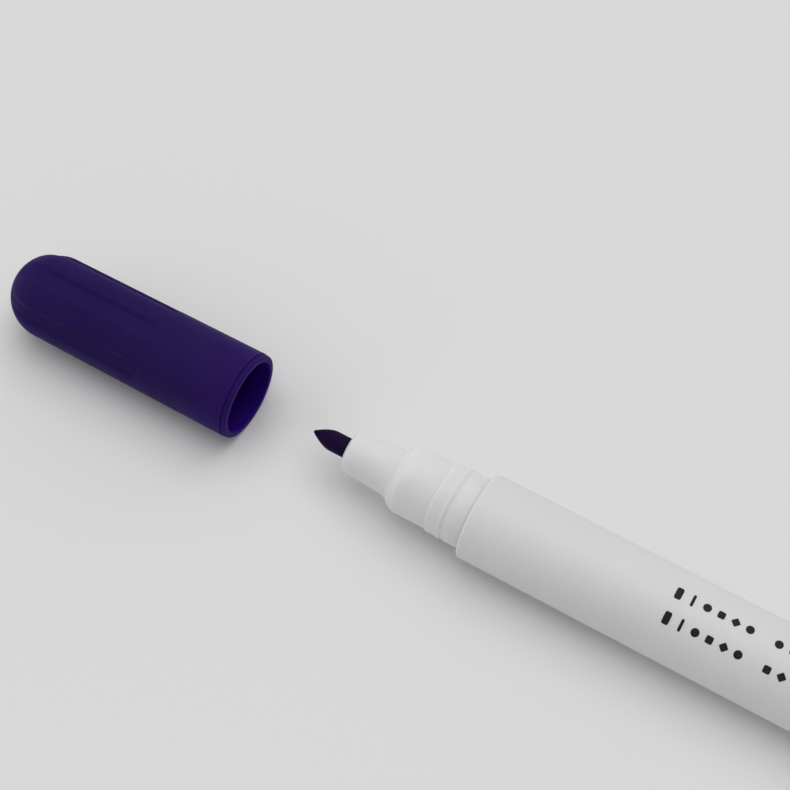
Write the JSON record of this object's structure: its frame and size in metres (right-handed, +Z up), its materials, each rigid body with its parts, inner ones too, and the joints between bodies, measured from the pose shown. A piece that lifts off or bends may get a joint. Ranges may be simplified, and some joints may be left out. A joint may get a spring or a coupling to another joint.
{
  "type": "fabric marking pen",
  "caption": "Fibre-tip marking pen for fabric: white barrel, pale nib section, dark violet fluted cap that pulls off along the pen and pushes on over the nib.",
  "frame": {"origin": "on the surface the pen lies on, under the middle of the pen and its pulled-off cap taken together", "axes": "+X along the pen from the cap and nib to the tail, +Z up, +Y across the pen; pen and cap share one axis 5.49 mm above the surface"},
  "size_m": [0.1712, 0.011, 0.011],
  "materials": {
    "barrel_white": "satin moulded polypropylene",
    "section_natural": "satin, slightly translucent natural polypropylene",
    "nib_fibre": "matt bonded fibre, wet with violet ink",
    "reservoir_fibre": "soft fibre bundle soaked with violet ink",
    "film_clear": "thin glossy film",
    "plug_violet": "satin-gloss dark violet polypropylene",
    "cap_violet": "satin-gloss dark violet polypropylene",
    "seal_natural": "satin natural polyethylene"
  },
  "bodies": {
    "pen": {"barrel": "barrel_white", "front_section": "section_natural", "nib": "nib_fibre", "reservoir": "reservoir_fibre", "reservoir_film": "film_clear", "end_plug": "plug_violet"},
    "cap": {"cap": "cap_violet", "cap_liner": "seal_natural"}
  },
  "joints": [
    {"name": "cap_slide", "type": "slide", "parent": "pen", "child": "cap", "axis": [1, 0, 0], "range_m": [-0.012, 0.0306]}
  ]
}
